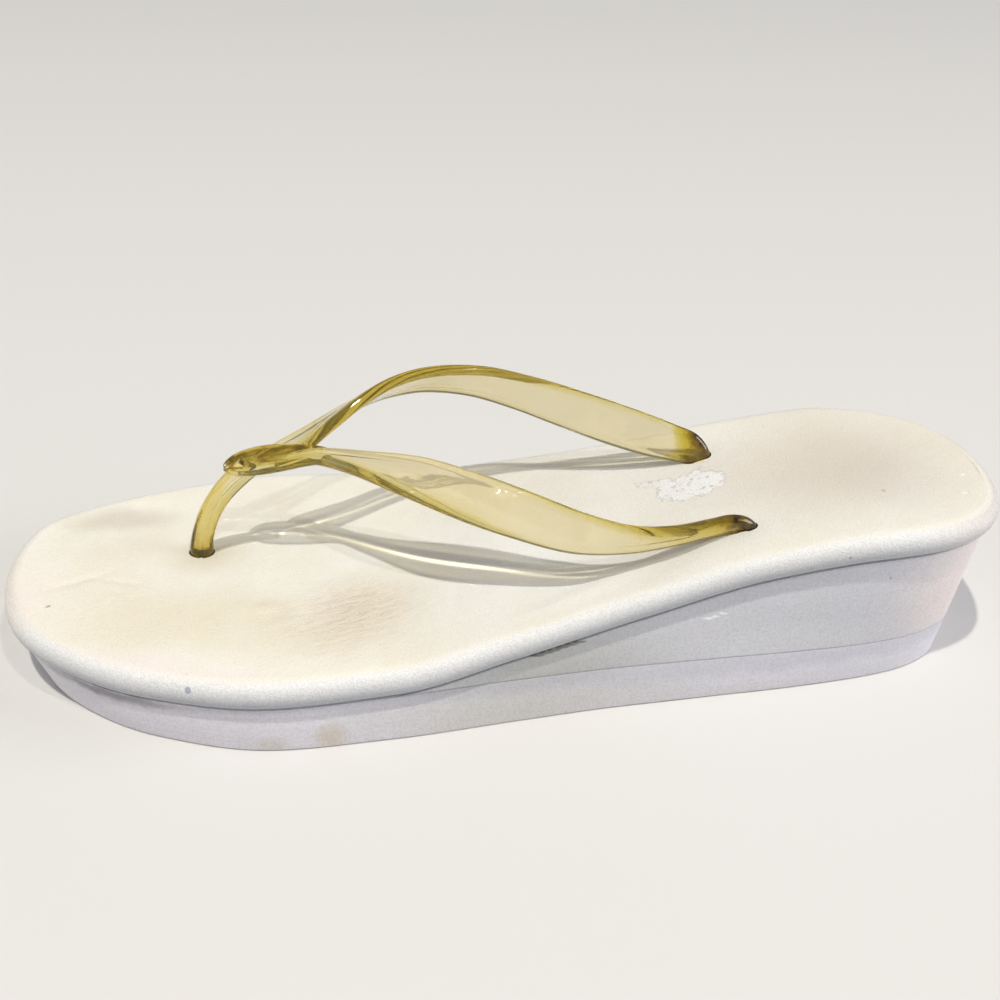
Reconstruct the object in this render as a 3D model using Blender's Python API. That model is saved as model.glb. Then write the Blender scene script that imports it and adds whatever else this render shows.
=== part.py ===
"""A left platform flip-flop: a platform sole, a heel wedge, a padded footbed and a thong strap moulded in one piece.

Metres, +Z up. The toe points to -X, the outer side of the foot is -Y, and the sole stands on Z = 0.
The sizes and tables are in millimetres, and MM turns them into metres.
"""

import math
from collections import namedtuple

import bmesh
import bpy
from mathutils import Vector

MM = 0.001

# Driving sizes of the sole.
LENGTH = 250.0
PLATFORM_HEIGHT = 12.1
FOOTBED_THICKNESS = 8.0
JOINT_GAP = 0.3  # between pieces that are glued on the real shoe
BASE = PLATFORM_HEIGHT + JOINT_GAP  # height at which the footbed and the wedge start
RIM_OVERHANG = 1.9  # of the footbed over the wall under it
PLATFORM_EDGE = 0.4  # rounding of the platform's lower edge
TOE_SPRING = 1.6
TOE_SPRING_LENGTH = 28.0
WEDGE_FEATHER = 0.5  # thickness left at the front edge of the wedge

# Driving sizes of the strap's anchors.
STEM_GAP = 0.35  # between a stem and its hole
BUTTON_LENGTH = 9.6
BUTTON_WIDTH = 8.4
BUTTON_HEIGHT = 2.0
BUTTON_GAP = 0.4  # between a button and its recess
RECESS_OPENING = 1.0  # how far a recess's cutter runs out below the footbed

# How finely the curves are cut up.
SLOPE_STEP = 0.004  # radians either side of a point of the outline, between which its heading is taken
WELD = 1e-7  # metres
STATIONS = 48  # along each side of the outline
COLUMNS = 8  # across the footbed
BULLNOSE_STEPS = 6
STRAP_STEPS = 4  # sections for each row of a strap's table
SECTION_POINTS = 12  # round a section of the strap
BUTTON_POINTS = 24
ROUND_SECTION = 0.62  # exponent of a strap's section: 1 is an ellipse, and less is squarer

# The plan of the footbed: how far its outer and inner edges lie from the long axis.
Plan = namedtuple("Plan", "x outer inner")
PLAN = (
    Plan(-125.0, -2.4, 2.4),
    Plan(-120.0, 18.0, 20.8),
    Plan(-110.0, 28.8, 28.2),
    Plan(-85.0, 41.0, 38.5),
    Plan(-60.0, 45.2, 44.4),
    Plan(-30.0, 41.8, 45.2),
    Plan(0.0, 36.2, 42.1),
    Plan(30.0, 31.8, 38.2),
    Plan(60.0, 29.3, 35.9),
    Plan(85.0, 28.1, 36.2),
    Plan(101.0, 25.8, 34.1),
    Plan(114.0, 20.6, 27.3),
    Plan(121.0, 13.6, 19.0),
    Plan(125.0, -2.4, 2.4),
)

# The side of the sole: the height of the footbed's underside, flat to the ball and then up the wedge,
# how deep the foot's hollow lies under the rim, and how far the wall's foot lies inside the rim.
Side = namedtuple("Side", "x underside hollow draft")
SIDE = (
    Side(-125.0, BASE, 0.0, 7.4),
    Side(-105.0, BASE, 0.3, 4.1),
    Side(-80.0, BASE, 0.8, 2.1),
    Side(-55.0, BASE, 1.1, 0.9),
    Side(-30.0, 12.6, 0.9, 0.2),
    Side(0.0, 18.3, 0.6, -0.5),
    Side(30.0, 26.4, 0.6, -0.4),
    Side(60.0, 35.2, 0.9, 0.6),
    Side(90.0, 39.8, 1.3, 3.2),
    Side(125.0, 40.4, 0.0, 5.2),
)

# The strap's sections. Roll turns the outer edge of a band down.
Blade = namedtuple("Blade", "x y z width thick roll")

# The toe post, from the knot down into its button.
POST = (
    Blade(-64.9, 8.6, 45.2, 6.0, 3.2, 90.0),
    Blade(-70.8, 8.6, 38.6, 5.6, 3.8, 90.0),
    Blade(-74.8, 8.6, 32.0, 5.4, 4.2, 90.0),
    Blade(-77.2, 8.6, 25.0, 5.5, 4.4, 90.0),
    Blade(-78.0, 8.6, 19.0, 6.0, 4.7, 90.0),
    Blade(-78.1, 8.6, 13.6, 6.0, 4.7, 90.0),
)

# The knot: a leaf that rises towards the heel and covers the top of the post.
KNOT = (
    Blade(-71.0, 8.6, 44.7, 2.4, 1.2, 0.0),
    Blade(-69.9, 8.7, 45.0, 5.4, 1.8, 6.0),
    Blade(-67.0, 8.9, 45.7, 8.5, 2.3, 10.0),
    Blade(-62.0, 8.7, 46.9, 9.7, 2.5, 12.0),
    Blade(-56.5, 8.0, 48.1, 8.9, 2.6, 12.0),
    Blade(-51.0, 7.2, 49.2, 7.1, 2.8, 10.0),
    Blade(-46.0, 5.2, 50.4, 5.2, 2.8, 6.0),
    Blade(-42.0, 3.0, 51.2, 3.2, 2.0, 2.0),
)

# The bands, from inside the knot down into their buttons.
OUTER_BAND = (
    Blade(-58.0, 8.0, 46.6, 4.0, 2.0, 0.0),
    Blade(-49.0, 6.4, 49.5, 5.0, 3.4, 0.0),
    Blade(-39.0, 0.8, 51.5, 8.2, 3.4, 2.0),
    Blade(-25.7, -6.1, 52.0, 13.4, 3.2, 10.0),
    Blade(-13.1, -11.7, 50.2, 13.4, 3.0, 26.0),
    Blade(0.0, -17.0, 48.0, 12.0, 2.8, 46.0),
    Blade(12.6, -20.9, 45.6, 10.4, 2.8, 66.0),
    Blade(25.2, -21.0, 43.4, 8.4, 3.0, 92.0),
    Blade(37.0, -18.8, 42.7, 7.0, 3.4, 108.0),
    Blade(46.5, -15.8, 42.7, 6.1, 3.6, 110.0),
    Blade(52.6, -14.1, 42.7, 5.8, 3.6, 103.0),
    Blade(56.5, -13.2, 40.9, 5.6, 3.6, 95.0),
    Blade(57.7, -12.9, 37.0, 6.0, 3.4, 90.0),
)
INNER_BAND = (
    Blade(-62.5, 10.6, 45.6, 4.0, 1.8, 0.0),
    Blade(-58.0, 12.0, 46.7, 8.4, 2.2, 0.0),
    Blade(-51.8, 14.2, 49.1, 10.0, 2.8, 3.0),
    Blade(-44.6, 17.8, 52.8, 9.8, 3.2, 17.0),
    Blade(-38.0, 21.6, 55.7, 10.8, 3.1, 31.0),
    Blade(-30.0, 25.2, 58.0, 12.6, 3.0, 43.0),
    Blade(-20.0, 27.2, 59.4, 13.8, 3.0, 50.0),
    Blade(-7.5, 27.4, 58.8, 13.8, 3.0, 58.0),
    Blade(5.0, 25.8, 56.2, 13.0, 3.0, 68.0),
    Blade(17.4, 23.9, 52.6, 12.0, 3.0, 84.0),
    Blade(29.0, 22.3, 49.0, 11.4, 3.0, 100.0),
    Blade(38.0, 21.2, 46.3, 10.8, 3.0, 108.0),
    Blade(44.2, 20.5, 44.6, 9.8, 3.0, 110.0),
    Blade(49.2, 20.0, 43.2, 8.6, 3.0, 105.0),
    Blade(52.4, 19.7, 40.0, 7.0, 3.2, 96.0),
    Blade(53.0, 19.5, 35.6, 6.6, 3.2, 90.0),
)
LEGS = {"post": POST, "outer_band": OUTER_BAND, "inner_band": INNER_BAND}
HOLE_ROWS = 4  # steps at the foot of a leg that lie in its hole or just over it

# Principled settings: colour (linear), roughness and specular level.
Finish = namedtuple("Finish", "colour roughness specular")
FOOTBED_FINISH = Finish((0.82, 0.79, 0.74), 0.55, 0.45)
WEDGE_FINISH = Finish((0.78, 0.78, 0.82), 0.6, 0.4)
PLATFORM_FINISH = Finish((0.76, 0.76, 0.80), 0.6, 0.4)
STRAP_FINISH = Finish((0.62, 0.52, 0.16), 0.12, 0.5)


def hermite(first, second, slope_first, slope_second, share):
    """The cubic from one value to the next, with slopes given for the whole step."""
    square, cube = share**2, share**3
    return (
        (2 * cube - 3 * square + 1) * first
        + (cube - 2 * square + share) * slope_first
        + (3 * square - 2 * cube) * second
        + (cube - square) * slope_second
    )


def read(rows, column, place):
    """A table's column at any x, as a smooth curve that never swings past its rows.

    Place is how far along the curve an x lies.
    """
    places, values = [place(row.x) for row in rows], [getattr(row, column) for row in rows]
    steps = list(zip(places, places[1:], values, values[1:]))
    rises = [(high - low) / (end - start) for start, end, low, high in steps]

    def slope(i):
        before, after = rises[max(i - 1, 0)], rises[min(i, len(rises) - 1)]
        return 2 * before * after / (before + after) if before * after > 0 else 0.0

    def value_at(x):
        at = min(max(place(x), places[0]), places[-1])
        here = max(i for i in range(len(steps)) if places[i] <= at)
        start, end, low, high = steps[here]
        size = end - start
        return hermite(low, high, slope(here) * size, slope(here + 1) * size, (at - start) / size)

    return value_at


def angle_of(x):
    """Where x lies on a half circle from toe to heel, so that a column read by it ends in a round tip."""
    return math.acos(min(max(-2 * x / LENGTH, -1), 1))


outer_reach = read(PLAN, "outer", angle_of)
inner_reach = read(PLAN, "inner", angle_of)
underside = read(SIDE, "underside", float)
hollow = read(SIDE, "hollow", float)
draft = read(SIDE, "draft", float)


def edge(angle, inset):
    """The outer and inner points of the outline at this angle, moved in by this much."""
    pair = []
    for side, reach in ((-1, outer_reach), (1, inner_reach)):

        def point(at):
            x = -LENGTH / 2 * math.cos(at)
            return Vector((x, side * reach(x), 0.0))

        ahead = point(min(angle + SLOPE_STEP, math.pi)) - point(max(angle - SLOPE_STEP, 0.0))
        if angle < SLOPE_STEP or angle > math.pi - SLOPE_STEP:
            ahead = Vector((0.0, side * math.cos(angle), 0.0))
        inward = Vector((ahead.y, -ahead.x, 0.0)).normalized() * side
        pair.append(point(angle) + inward * inset)
    return pair


def outline(inset, height, start=0.0):
    """Rows of (outer, inner) points from this angle to the heel. Inset and height are functions of a point."""
    rows = []
    for i in range(STATIONS + 1):
        angle = start + (math.pi - start) * i / STATIONS
        shift = inset(edge(angle, 0.0)[0].x)
        row = edge(angle, shift)
        for point in row:
            point.z = height(point)
        rows.append(row)
    return rows


def ring(rows):
    """The points round an outline: along the outer side to the heel, and back along the inner side."""
    return [row[0] for row in rows] + [row[1] for row in reversed(rows)]


def across(rows, height):
    """A grid that spans an outline, with the height of the points between its edges from a function."""
    grid = []
    for outer, inner in rows:
        line = []
        for i in range(COLUMNS + 1):
            point = outer.lerp(inner, i / COLUMNS)
            if 0 < i < COLUMNS:
                point.z = height(point, 2 * i / COLUMNS - 1)
            line.append(point)
        grid.append(line)
    return grid


def solid(name, grids, finish=None):
    """One closed object whose skin is these grids of points, welded where they meet."""
    mesh = bmesh.new()
    for grid in grids:
        lines = [[mesh.verts.new(point * MM) for point in line] for line in grid]
        for low, high in zip(lines, lines[1:]):
            for i in range(len(low) - 1):
                mesh.faces.new((low[i], low[i + 1], high[i + 1], high[i]))
    bmesh.ops.remove_doubles(mesh, verts=mesh.verts, dist=WELD)
    bmesh.ops.recalc_face_normals(mesh, faces=mesh.faces)
    data = bpy.data.meshes.new(name)
    mesh.to_mesh(data)
    mesh.free()
    made = bpy.data.objects.new(name, data)
    (sandal if finish else helpers).objects.link(made)
    if finish:
        data.materials.append(material(name, finish))
    else:
        made.hide_render = True
        made.display_type = "WIRE"
    return made


def material(name, finish):
    made = bpy.data.materials.new(name)
    made.use_nodes = True
    shader = made.node_tree.nodes["Principled BSDF"]
    shader.inputs["Base Color"].default_value = (*finish.colour, 1.0)
    shader.inputs["Roughness"].default_value = finish.roughness
    shader.inputs["Specular IOR Level"].default_value = finish.specular
    shader.inputs["Metallic"].default_value = 0.0
    return made


def boolean(target, operation, other):
    made = target.modifiers.new(f"{operation.lower()} {other.name}", "BOOLEAN")
    made.operation = operation
    made.object = other
    made.solver = "EXACT"


def wall_inset(x, z):
    """How far the side wall lies inside the rim at this height."""
    share = min(z / underside(x), 1.0)
    return draft(x) + (RIM_OVERHANG - draft(x)) * share


def platform_sole():
    """The walking sole: flat to stand on, sprung up a little at the toe."""

    def floor(point):
        share = max(0.0, 1 - (point.x + LENGTH / 2) / TOE_SPRING_LENGTH)
        return TOE_SPRING * share**2

    def lower(point):
        return floor(point) + PLATFORM_EDGE

    def top(point):
        return PLATFORM_HEIGHT

    foot = outline(lambda x: draft(x) + PLATFORM_EDGE, floor)
    skirt = outline(lambda x: wall_inset(x, PLATFORM_EDGE), lower)
    rim = outline(lambda x: wall_inset(x, PLATFORM_HEIGHT), top)
    grids = [
        across(foot, lambda point, share: floor(point)),
        [ring(foot), ring(skirt), ring(rim)],
        across(rim, lambda point, share: PLATFORM_HEIGHT),
    ]
    return solid("platform_sole", grids, PLATFORM_FINISH)


def heel_wedge():
    """The wedge on the platform, from a feather edge behind the ball to the heel."""
    thinnest = BASE + WEDGE_FEATHER

    def top(point):
        return max(underside(point.x) - JOINT_GAP, thinnest)

    under_foot = range(-int(LENGTH / 2), int(LENGTH / 2))
    front = min(angle_of(x) for x in under_foot if underside(x) - JOINT_GAP >= thinnest)
    lower = outline(lambda x: wall_inset(x, BASE), lambda point: BASE, front)
    upper = outline(lambda x: RIM_OVERHANG, top, front)
    floor = across(lower, lambda point, share: BASE)
    roof = across(upper, lambda point, share: top(point))
    feather = [floor[0], roof[0]]
    grids = [floor, [ring(lower), ring(upper)], roof, feather]
    return solid("heel_wedge", grids, WEDGE_FINISH)


def footbed():
    """The padded insole board: bullnosed rim, a shallow hollow for the foot, and holes for the strap."""
    radius = FOOTBED_THICKNESS / 2
    levels = []
    for i in range(BULLNOSE_STEPS + 1):
        lift = -math.pi / 2 + math.pi * i / BULLNOSE_STEPS
        inset = radius * (1 - math.cos(lift))
        rise = radius * (1 + math.sin(lift))
        levels.append(outline(lambda x: inset, lambda point: underside(point.x) + rise))

    def sole_side(point, share):
        return underside(point.x)

    def foot_side(point, share):
        return underside(point.x) + FOOTBED_THICKNESS - hollow(point.x) * (1 - share**2) ** 2

    grids = [across(levels[0], sole_side), [ring(level) for level in levels], across(levels[-1], foot_side)]
    made = solid("footbed", grids, FOOTBED_FINISH)
    for name, rows in LEGS.items():
        boolean(made, "DIFFERENCE", hole(f"{name}_hole", rows))
        boolean(made, "DIFFERENCE", button(f"{name}_recess", rows[-1], BUTTON_GAP))
    return made


def sections(rows, grow=0.0):
    """Closed loops of points round a strap's blade, from its table, each side moved out by grow."""
    first, last = Vector(rows[0][:3]), Vector(rows[-1][:3])
    heading = Vector((last.x - first.x, last.y - first.y, 0.0)).normalized()
    left = Vector((-heading.y, heading.x, 0.0))
    side = 1 if rows[-1].y > rows[0].y else -1
    table = []
    for i in range(len(rows) - 1):
        before, after = rows[max(i - 1, 0)], rows[min(i + 2, len(rows) - 1)]
        for step in range(STRAP_STEPS):
            share = step / STRAP_STEPS
            columns = zip(before, rows[i], rows[i + 1], after)
            table.append(Blade(*(hermite(f, s, (s - b) / 2, (a - f) / 2, share) for b, f, s, a in columns)))
    table.append(rows[-1])
    loops = []
    for i, blade in enumerate(table):
        low, high = table[max(i - 1, 0)], table[min(i + 1, len(table) - 1)]
        ahead = (Vector(high[:3]) - Vector(low[:3])).normalized()
        flat = (left - ahead * left.dot(ahead)).normalized()
        up = ahead.cross(flat)
        roll = math.radians(blade.roll)
        wide = flat * math.cos(roll) - up * side * math.sin(roll)
        thin = ahead.cross(wide)
        loop = []
        for k in range(SECTION_POINTS + 1):
            turn = 2 * math.pi * k / SECTION_POINTS
            c, s = math.cos(turn), math.sin(turn)
            across_by = math.copysign(abs(c) ** ROUND_SECTION, c) * (blade.width / 2 + grow)
            through_by = math.copysign(abs(s) ** ROUND_SECTION, s) * (blade.thick / 2 + grow)
            loop.append(Vector(blade[:3]) + wide * across_by + thin * through_by)
        loops.append(loop)
    return loops


def closed(name, loops, finish=None):
    """A solid through these sections, with a fan of faces over each end."""
    ends = [[sum(loop[1:], Vector()) / SECTION_POINTS] * len(loop) for loop in (loops[0], loops[-1])]
    return solid(name, [[ends[0], *loops, ends[1]]], finish)


def hole(name, rows):
    """The cutter that lets a leg of the strap through the footbed with a little room."""
    return closed(name, sections(rows, STEM_GAP)[-STRAP_STEPS * HOLE_ROWS :])


def button(name, foot, grow=0.0):
    """The oval button at the foot of a stem, or with grow its recess, which is open below."""
    floor = max(underside(foot.x + BUTTON_LENGTH / 2), underside(foot.x)) + BUTTON_GAP
    top = floor + BUTTON_HEIGHT + grow
    bottom = floor if grow == 0 else underside(foot.x - BUTTON_LENGTH) - RECESS_OPENING
    centre = Vector((foot.x, foot.y, (top + bottom) / 2))
    bpy.ops.mesh.primitive_cylinder_add(
        vertices=BUTTON_POINTS, radius=0.5, depth=(top - bottom) * MM, location=centre * MM
    )
    made = bpy.context.object
    made.name = name
    made.scale = ((BUTTON_LENGTH + 2 * grow) * MM, (BUTTON_WIDTH + 2 * grow) * MM, 1.0)
    made.hide_render = True
    made.display_type = "WIRE"
    made.users_collection[0].objects.unlink(made)
    helpers.objects.link(made)
    return made


def thong_strap():
    """The upper: post, knot and two bands moulded in one, with a button under the footbed at each stem."""
    made = closed("thong_strap", sections(KNOT), STRAP_FINISH)
    for name, rows in LEGS.items():
        boolean(made, "UNION", closed(name, sections(rows)))
        boolean(made, "UNION", button(f"{name}_button", rows[-1]))
    return made


for old in list(bpy.data.objects):
    bpy.data.objects.remove(old)

sandal = bpy.data.collections.new("platform_flip_flop")
helpers = bpy.data.collections.new("cutters")
helpers.hide_render = True
for collection in (sandal, helpers):
    bpy.context.scene.collection.children.link(collection)

platform_sole()
heel_wedge()
footbed()
thong_strap()
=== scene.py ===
import math
from collections import namedtuple

import bmesh
import bpy
from mathutils import Matrix, Vector, kdtree, noise


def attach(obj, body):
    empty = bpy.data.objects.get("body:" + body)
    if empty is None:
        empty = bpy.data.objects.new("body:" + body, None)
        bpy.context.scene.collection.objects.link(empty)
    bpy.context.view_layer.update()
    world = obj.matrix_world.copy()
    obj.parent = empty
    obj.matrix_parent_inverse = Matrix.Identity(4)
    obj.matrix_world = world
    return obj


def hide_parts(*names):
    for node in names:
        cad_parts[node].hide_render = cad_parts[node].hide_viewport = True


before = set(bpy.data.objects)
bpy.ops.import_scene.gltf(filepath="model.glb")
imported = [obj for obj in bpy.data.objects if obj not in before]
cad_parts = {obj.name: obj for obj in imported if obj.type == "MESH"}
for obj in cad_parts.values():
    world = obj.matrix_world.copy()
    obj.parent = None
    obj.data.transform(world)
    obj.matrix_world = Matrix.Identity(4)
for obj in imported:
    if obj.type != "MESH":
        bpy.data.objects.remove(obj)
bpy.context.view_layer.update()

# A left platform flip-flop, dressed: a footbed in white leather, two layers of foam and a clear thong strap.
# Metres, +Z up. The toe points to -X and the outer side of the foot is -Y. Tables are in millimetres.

MM = 0.001

# Driving sizes of the sole.
LENGTH = 250.0
PLATFORM_HEIGHT = 12.1
FOOTBED_THICKNESS = 8.0
JOINT_GAP = 0.3
BASE = PLATFORM_HEIGHT + JOINT_GAP
RIM_OVERHANG = 1.9
TOE_SPRING = 1.6
TOE_SPRING_LENGTH = 28.0
WEDGE_FEATHER = 0.15
SEAM = 0.12  # the line left between two glued layers
SOLE_EDGE = 0.7  # rounding of the platform's lower edge
JOINT_EDGE = 0.12  # rounding of the foam's edges where layers meet

# A rounded edge of the foam, as shares of its radius: how far up the wall, and how far in from it.
ROUNDED_EDGE = ((0.0, 1.0), (0.3, 0.4), (0.65, 0.1), (1.0, 0.0))
ROUNDING_ROOM = 0.4  # a wall lower than one over this, in millimetres, gets a smaller rounding
LOWEST_WALL = 0.1  # the least height that a wall is taken to have

# Driving sizes of the strap's anchors.
STEM_GAP = 0.3
BUTTON_LENGTH = 9.6
BUTTON_WIDTH = 8.4
BUTTON_HEIGHT = 2.0
BUTTON_GAP = 0.4
RECESS_OPENING = 1.0  # how far a recess is cut past the underside, so that it is open below
HOLE_ROWS = 4  # how many rows of a leg's table, from its foot up, cut its hole

# The section of a blade of the strap.
EDGE_ROUNDING = 1.2  # how far its rounded edge reaches in, as a share of its half thickness
EDGE_BEAD = 0.12  # how much thinner its middle is than its edges
KNOT_DISH = 0.8  # depth of the hollow in the top of the knot
DISH_SHARE = 0.8  # how much of the knot's width the hollow takes

# How finely the curves are cut up.
SLOPE_STEP = 0.004  # radians to each side within which the outline's direction is read
WELD = 1e-7  # metres within which two points are one
STATIONS = 240  # steps from toe to heel
COVER_COLUMNS = 120  # steps across the face of the cover
PLAIN_COLUMNS = 2  # steps across a face without detail
BULLNOSE_STEPS = 16
STRAP_STEPS = 14  # sections to a row of a strap's table
SECTION_POINTS = 44
BUTTON_POINTS = 32
SHARP_ANGLE = 38.0  # degrees between two faces past which their edge stays crisp

# Outer and inner reach of the outline from the long axis, along the shoe.
Plan = namedtuple("Plan", "x outer inner")
PLAN = (
    Plan(-125.0, -2.4, 2.4),
    Plan(-120.0, 18.0, 20.8),
    Plan(-110.0, 28.8, 28.2),
    Plan(-85.0, 41.0, 38.5),
    Plan(-60.0, 45.2, 44.4),
    Plan(-30.0, 41.8, 45.2),
    Plan(0.0, 36.2, 42.1),
    Plan(30.0, 31.8, 38.2),
    Plan(60.0, 29.3, 35.9),
    Plan(85.0, 28.1, 36.2),
    Plan(101.0, 25.8, 34.1),
    Plan(114.0, 20.6, 27.3),
    Plan(121.0, 13.6, 19.0),
    Plan(125.0, -2.4, 2.4),
)

# Height of the footbed's underside, depth of the hollow for the foot, and how far the wall's foot lies inside
# the rim.
Side = namedtuple("Side", "x underside hollow draft")
SIDE = (
    Side(-125.0, BASE, 0.0, 7.4),
    Side(-105.0, BASE, 0.3, 4.1),
    Side(-80.0, BASE, 0.8, 2.1),
    Side(-55.0, BASE, 1.1, 0.9),
    Side(-30.0, 12.6, 0.9, 0.2),
    Side(0.0, 18.3, 0.6, -0.5),
    Side(30.0, 26.4, 0.6, -0.4),
    Side(60.0, 35.2, 0.9, 0.6),
    Side(90.0, 39.8, 1.3, 3.2),
    Side(125.0, 40.4, 0.0, 5.2),
)

# The strap's sections. Roll turns the outer edge of a band down. The last two columns are how far in from
# the lower and the upper edge the plastic is painted golden, as painted light for the light caught in it;
# where they reach far, at the anchors and the post's foot, it is painted dark, as painted shade of the holes.
Blade = namedtuple("Blade", "x y z width thick roll low_gold high_gold")
POST = (
    Blade(-64.9, 8.6, 45.2, 6.0, 3.2, 90.0, 1.0, 1.0),
    Blade(-70.8, 8.6, 38.6, 5.6, 3.8, 90.0, 2.6, 2.6),
    Blade(-74.8, 8.6, 32.0, 5.4, 4.2, 90.0, 3.6, 3.6),
    Blade(-77.2, 8.6, 25.0, 5.5, 4.4, 90.0, 4.0, 4.0),
    Blade(-78.0, 8.6, 19.0, 6.0, 4.7, 90.0, 13.0, 13.0),
    Blade(-78.1, 8.6, 13.6, 6.0, 4.7, 90.0, 20.0, 20.0),
)
KNOT = (
    Blade(-71.0, 8.6, 44.7, 2.4, 1.2, 0.0, 0.5, 0.5),
    Blade(-69.9, 8.7, 45.0, 5.4, 1.8, 6.0, 0.6, 1.0),
    Blade(-67.0, 8.9, 45.7, 8.5, 2.3, 10.0, 0.6, 1.2),
    Blade(-62.0, 8.7, 46.9, 9.7, 2.5, 12.0, 0.6, 1.4),
    Blade(-56.5, 8.0, 48.1, 8.9, 2.6, 12.0, 0.8, 2.0),
    Blade(-51.0, 7.2, 49.2, 7.1, 2.8, 10.0, 1.0, 10.0),
    Blade(-46.0, 5.2, 50.4, 5.2, 2.8, 6.0, 2.0, 8.0),
    Blade(-42.0, 3.0, 51.2, 3.2, 2.0, 2.0, 3.0, 6.0),
)
OUTER_BAND = (
    Blade(-58.0, 8.0, 46.6, 4.0, 2.0, 0.0, 5.0, 5.0),
    Blade(-49.0, 6.4, 49.5, 5.0, 3.4, 0.0, 4.0, 0.4),
    Blade(-39.0, 0.8, 51.5, 8.2, 3.4, 2.0, 3.4, 0.3),
    Blade(-25.7, -6.1, 52.0, 13.4, 3.2, 10.0, 3.4, 0.3),
    Blade(-13.1, -11.7, 50.2, 13.4, 3.0, 26.0, 2.8, 0.7),
    Blade(0.0, -17.0, 48.0, 12.0, 2.8, 46.0, 1.2, 1.3),
    Blade(12.6, -20.9, 45.6, 10.4, 2.8, 66.0, 0.5, 1.7),
    Blade(25.2, -21.0, 43.4, 8.4, 3.0, 92.0, 0.5, 2.6),
    Blade(37.0, -18.8, 42.7, 7.0, 3.4, 108.0, 0.9, 6.0),
    Blade(46.5, -15.8, 42.7, 6.1, 3.6, 110.0, 2.4, 10.0),
    Blade(52.6, -14.1, 42.7, 5.8, 3.6, 103.0, 14.0, 19.0),
    Blade(56.5, -13.2, 40.9, 5.6, 3.6, 95.0, 18.0, 20.0),
    Blade(57.7, -12.9, 37.0, 6.0, 3.4, 90.0, 20.0, 20.0),
)
INNER_BAND = (
    Blade(-62.5, 10.6, 45.6, 4.0, 1.8, 0.0, 0.6, 3.6),
    Blade(-58.0, 12.0, 46.7, 8.4, 2.2, 0.0, 0.5, 4.6),
    Blade(-51.8, 14.2, 49.1, 10.0, 2.8, 3.0, 0.5, 5.0),
    Blade(-44.6, 17.8, 52.8, 9.8, 3.2, 17.0, 0.5, 4.6),
    Blade(-38.0, 21.6, 55.7, 10.8, 3.1, 31.0, 0.7, 4.0),
    Blade(-30.0, 25.2, 58.0, 12.6, 3.0, 43.0, 1.2, 3.4),
    Blade(-20.0, 27.2, 59.4, 13.8, 3.0, 50.0, 1.4, 2.8),
    Blade(-7.5, 27.4, 58.8, 13.8, 3.0, 58.0, 1.1, 1.6),
    Blade(5.0, 25.8, 56.2, 13.0, 3.0, 68.0, 0.8, 1.2),
    Blade(17.4, 23.9, 52.6, 12.0, 3.0, 84.0, 0.8, 1.2),
    Blade(29.0, 22.3, 49.0, 11.4, 3.0, 100.0, 0.8, 1.2),
    Blade(38.0, 21.2, 46.3, 10.8, 3.0, 108.0, 0.9, 1.4),
    Blade(44.2, 20.5, 44.6, 9.8, 3.0, 110.0, 1.6, 2.6),
    Blade(49.2, 20.0, 43.2, 8.6, 3.0, 105.0, 12.0, 19.0),
    Blade(52.4, 19.7, 40.0, 7.0, 3.2, 96.0, 20.0, 20.0),
    Blade(53.0, 19.5, 35.6, 6.6, 3.2, 90.0, 20.0, 20.0),
)
LEGS = {"post": POST, "outer_band": OUTER_BAND, "inner_band": INNER_BAND}

# How golden the strap's plastic is painted, from 0 to 1: painted light caught in it, and painted shade
# at its ends and in the knot's hollow.
EDGE_GOLD = 0.6  # along the very edge of a band; its thick root and anchor go deeper
GOLD_REACH = 20.0  # an edge whose light is caught this many millimetres in is golden all through
DISH_PAINTED_SHADE = 0.84  # painted shade in the hollow of the knot
DISH_SHADE_FADE = 0.12  # how much that painted shade changes from the middle of the hollow to its sides
NOTE_SMOOTHINGS = 2  # rounds in which neighbouring points even out what is noted at them

# Troughs (negative) and ridges of the cover: centre, half length, half width, turn in degrees and depth.
Fold = namedtuple("Fold", "x y length width turn depth")
FOLDS = (
    Fold(-78.1, 8.6, 7.0, 6.0, 0.0, -0.9),  # round the toe post
    Fold(56.0, -13.4, 8.0, 6.0, 15.0, -0.7),  # round the outer anchor
    Fold(52.0, 19.8, 8.0, 6.0, -15.0, -0.7),  # round the inner anchor
    Fold(-97.0, 22.0, 16.0, 10.0, -5.0, -0.5),  # big toe
    Fold(-106.0, -4.0, 7.5, 1.0, 28.0, -0.36),  # two creases behind the toes
    Fold(-96.0, -4.6, 5.5, 1.0, -14.0, -0.3),
    Fold(-60.5, -14.6, 4.6, 2.4, 14.0, 0.42),  # a dent with its ridge, in front of the ball
    Fold(-60.0, -18.6, 5.2, 2.6, 16.0, -0.42),
    Fold(-36.0, -20.0, 14.0, 12.0, 0.0, -0.5),  # ball
    Fold(16.0, -24.0, 16.0, 2.4, 17.0, 0.35),  # ridge where the arch starts to climb
    Fold(90.0, 4.0, 26.0, 18.0, 0.0, -0.5),  # heel
)

# The cover's face wavers by itself: how far, and over what length.
WAVERS = ((0.12, 14.0), (0.05, 5.0))
SIDE_FADE = 8.0  # folds and wavers fade out over the outermost share, one in this many, of the half width
TIP_FADE = 8.0  # and over this length at the toe and the heel

# How an edge is made ragged: over what length it is pushed about, and by how much, in millimetres.
STAIN_EDGE = (16.0, 4.0)
DIRT_EDGE = (9.0, 3.5)
SCUFF_EDGE = (5.0, 1.6)
FLECK_EDGE = (0.8, 0.3)
GRAIN_EDGE = (1.1, 0.25)
WORN_EDGE = (5.0, 2.0)
NICK_EDGE = (1.5, 0.2)

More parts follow.
